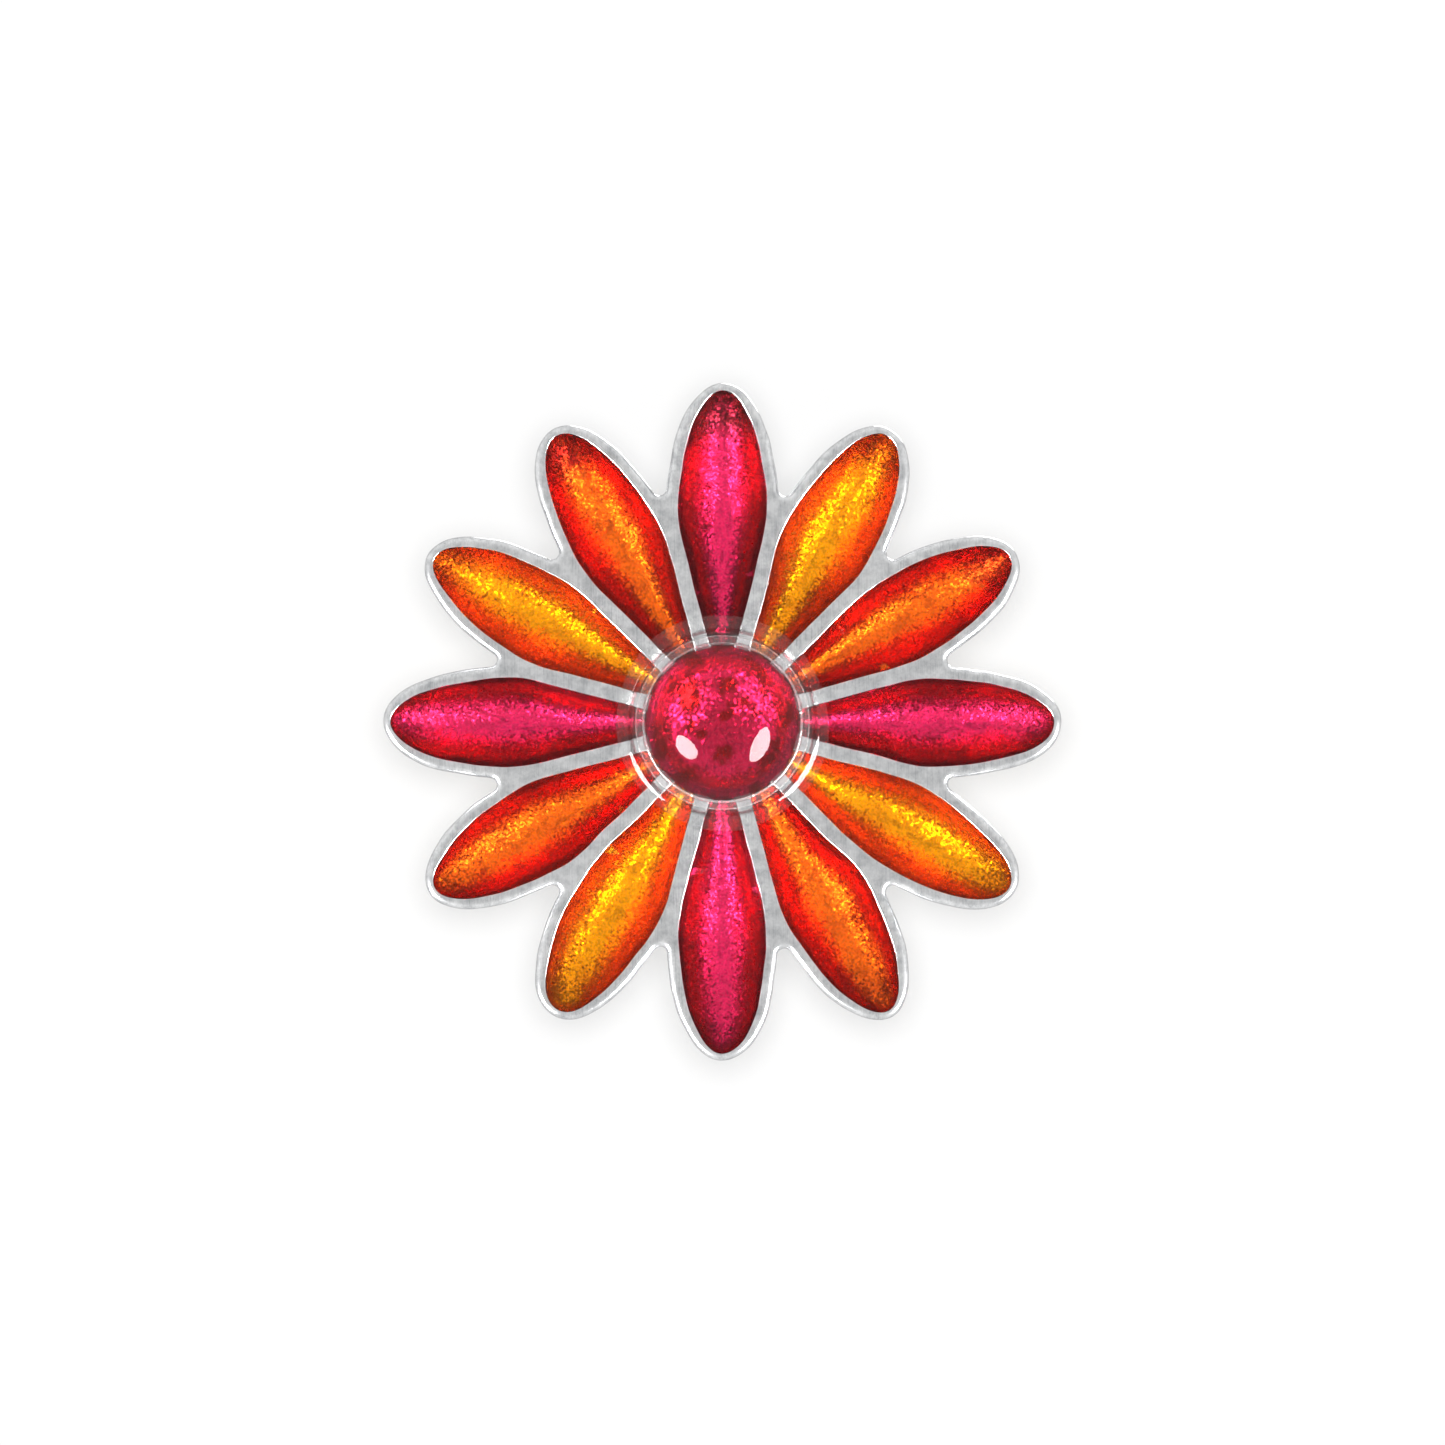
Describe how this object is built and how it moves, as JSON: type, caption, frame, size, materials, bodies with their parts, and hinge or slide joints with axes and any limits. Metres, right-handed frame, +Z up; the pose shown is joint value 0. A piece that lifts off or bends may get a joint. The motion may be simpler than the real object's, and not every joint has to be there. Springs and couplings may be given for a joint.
{
  "type": "hat pin",
  "caption": "Daisy-shaped enamelled metal hat pin with a clear domed centre stone, held by tack posts and pinch-release butterfly clutches.",
  "frame": {"origin": "centre of the flower's flat back, where it lies against the hat", "axes": "the flower stands upright with its face towards -Y and its posts along +Y; +X is the viewer's right in the front view and +Z is up"},
  "size_m": [0.04, 0.0133, 0.04],
  "materials": {
    "cast_metal": "cast, with the face and rims linished to a fine satin",
    "magenta_enamel": "transparent crimson-pink cold enamel over sparkling metal, stoned flat and polished",
    "red_enamel": "transparent red-orange cold enamel over sparkling metal, stoned flat and polished",
    "amber_enamel": "transparent amber cold enamel over sparkling metal, stoned flat and polished",
    "clear_glass": "clear and polished",
    "clear_resin": "clear glue that has wetted the foot of the stone",
    "post_steel": "drawn steel with a nickel flash",
    "solder": "dull soft solder",
    "clutch_brass": "pressed sheet brass, bright"
  },
  "bodies": {
    "flower": {"flower_frame": "cast_metal", "centre_enamel": "magenta_enamel", "glass_stone": "clear_glass", "resin_collar": "clear_resin", "petal_enamel_01": "magenta_enamel", "petal_enamel_02": "amber_enamel", "petal_enamel_03": "red_enamel", "petal_enamel_04": "magenta_enamel", "petal_enamel_05": "amber_enamel", "petal_enamel_06": "red_enamel", "petal_enamel_07": "magenta_enamel", "petal_enamel_08": "amber_enamel", "petal_enamel_09": "red_enamel", "petal_enamel_10": "magenta_enamel", "petal_enamel_11": "amber_enamel", "petal_enamel_12": "red_enamel", "post_left": "post_steel", "post_solder_left": "solder", "post_right": "post_steel", "post_solder_right": "solder"},
    "left_clutch": {"clutch_plate_left": "clutch_brass"},
    "left_top_jaw": {"clutch_jaw_top_left": "clutch_brass"},
    "left_bottom_jaw": {"clutch_jaw_bottom_left": "clutch_brass"},
    "right_clutch": {"clutch_plate_right": "clutch_brass"},
    "right_top_jaw": {"clutch_jaw_top_right": "clutch_brass"},
    "right_bottom_jaw": {"clutch_jaw_bottom_right": "clutch_brass"}
  },
  "joints": [
    {"name": "left_clutch_slide", "type": "slide", "parent": "flower", "child": "left_clutch", "axis": [0, 1, 0], "range_m": [-0.0019, 0.008]},
    {"name": "left_top_jaw_pinch", "type": "slide", "parent": "left_clutch", "child": "left_top_jaw", "axis": [0, 0, -1], "range_m": [0, 0.0005], "stiffness_N_per_m": 400},
    {"name": "left_bottom_jaw_pinch", "type": "slide", "parent": "left_clutch", "child": "left_bottom_jaw", "axis": [0, 0, 1], "range_m": [0, 0.0005], "stiffness_N_per_m": 400},
    {"name": "right_clutch_slide", "type": "slide", "parent": "flower", "child": "right_clutch", "axis": [0, 1, 0], "range_m": [-0.0019, 0.008]},
    {"name": "right_top_jaw_pinch", "type": "slide", "parent": "right_clutch", "child": "right_top_jaw", "axis": [0, 0, -1], "range_m": [0, 0.0005], "stiffness_N_per_m": 400},
    {"name": "right_bottom_jaw_pinch", "type": "slide", "parent": "right_clutch", "child": "right_bottom_jaw", "axis": [0, 0, 1], "range_m": [0, 0.0005], "stiffness_N_per_m": 400}
  ],
  "couplings": [
    {"joint": "left_bottom_jaw_pinch", "follows": "left_top_jaw_pinch", "ratio": 1},
    {"joint": "right_bottom_jaw_pinch", "follows": "right_top_jaw_pinch", "ratio": 1}
  ]
}
